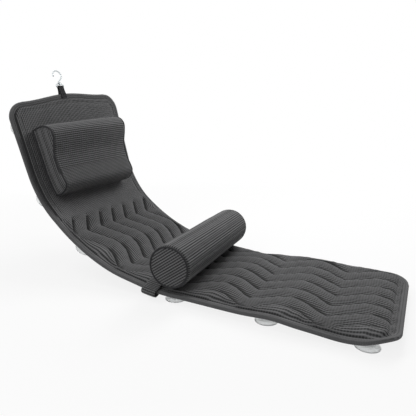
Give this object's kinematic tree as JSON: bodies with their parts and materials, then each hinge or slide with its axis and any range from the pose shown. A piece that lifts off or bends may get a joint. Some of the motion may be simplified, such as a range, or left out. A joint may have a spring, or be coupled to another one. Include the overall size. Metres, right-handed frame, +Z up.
{
  "type": "bath pillow",
  "caption": "Full-length quilted mesh bath mat with a contoured head pillow, a leg roll on a strap, suction cups underneath and a clear hanging hook.",
  "frame": {"origin": "centre of the bounding box's footprint, on the plane that the suction cups' rims rest on", "axes": "+X along the mat from the head end towards the foot end, +Y across the mat, away from the side that the picture shows nearest, +Z up"},
  "size_m": [1.0484, 0.4234, 0.5681],
  "materials": {
    "quilted_mesh": "matte",
    "cover_mesh": "matte",
    "edging": "matte",
    "backing_cloth": "matte",
    "hook_and_loop": "matte",
    "webbing": "matte",
    "foam": "matte",
    "suction_cup": "gloss",
    "clear_fitting": "gloss"
  },
  "bodies": {
    "seat": {"seat_pad": "quilted_mesh", "seat_backing": "backing_cloth", "seat_binding": "edging", "cup_3_near": "suction_cup", "cup_3_middle": "suction_cup", "cup_3_far": "suction_cup", "cup_4_near": "suction_cup", "cup_4_middle": "suction_cup", "cup_4_far": "suction_cup", "cup_5_near": "suction_cup", "cup_5_middle": "suction_cup", "cup_5_far": "suction_cup", "cup_6_near": "suction_cup", "cup_6_middle": "suction_cup", "cup_6_far": "suction_cup"},
    "back": {"back_pad": "quilted_mesh", "back_backing": "backing_cloth", "back_binding": "edging", "cup_1_near": "suction_cup", "cup_1_middle": "suction_cup", "cup_1_far": "suction_cup", "cup_2_near": "suction_cup", "cup_2_middle": "suction_cup", "cup_2_far": "suction_cup", "mat_strip_1": "hook_and_loop", "mat_strip_2": "hook_and_loop", "hanging_webbing": "webbing"},
    "head_pillow": {"pillow_core": "foam", "pillow_cover": "cover_mesh", "pillow_gusset_near": "cover_mesh", "pillow_gusset_far": "cover_mesh", "pillow_piping_near": "edging", "pillow_piping_far": "edging", "pillow_strip_1": "hook_and_loop", "pillow_strip_2": "hook_and_loop"},
    "leg_roll": {"roll_core": "foam", "roll_sleeve": "cover_mesh", "roll_end_near": "cover_mesh", "roll_end_far": "cover_mesh", "roll_piping_near": "edging", "roll_piping_far": "edging", "roll_strap": "quilted_mesh"},
    "loop": {"strap_loop": "clear_fitting"},
    "hook": {"hook": "clear_fitting"}
  },
  "joints": [
    {"name": "back_fold", "type": "hinge", "parent": "seat", "child": "back", "pos_m": [-0.34745, 0.00123, 0.14791], "axis": [0, 1, 0], "range_deg": [-35, 19]},
    {"name": "pillow_lift", "type": "slide", "parent": "back", "child": "head_pillow", "axis": [0.9512, -0.044, 0.3054], "range_m": [0, 0.07]},
    {"name": "roll_shift", "type": "hinge", "parent": "seat", "child": "leg_roll", "pos_m": [0.00913, 0.00123, 0.566], "axis": [0, 1, 0], "range_deg": [0, 12]},
    {"name": "loop_tilt", "type": "hinge", "parent": "back", "child": "loop", "pos_m": [-0.50663, -0.00712, 0.51854], "axis": [0.0909, 0.9954, 0.0292], "range_deg": [-60, 60]},
    {"name": "hook_swivel", "type": "hinge", "parent": "loop", "child": "hook", "pos_m": [-0.50954, -0.00712, 0.52758], "axis": [-0.3057, 0, 0.9521], "continuous": true}
  ]
}
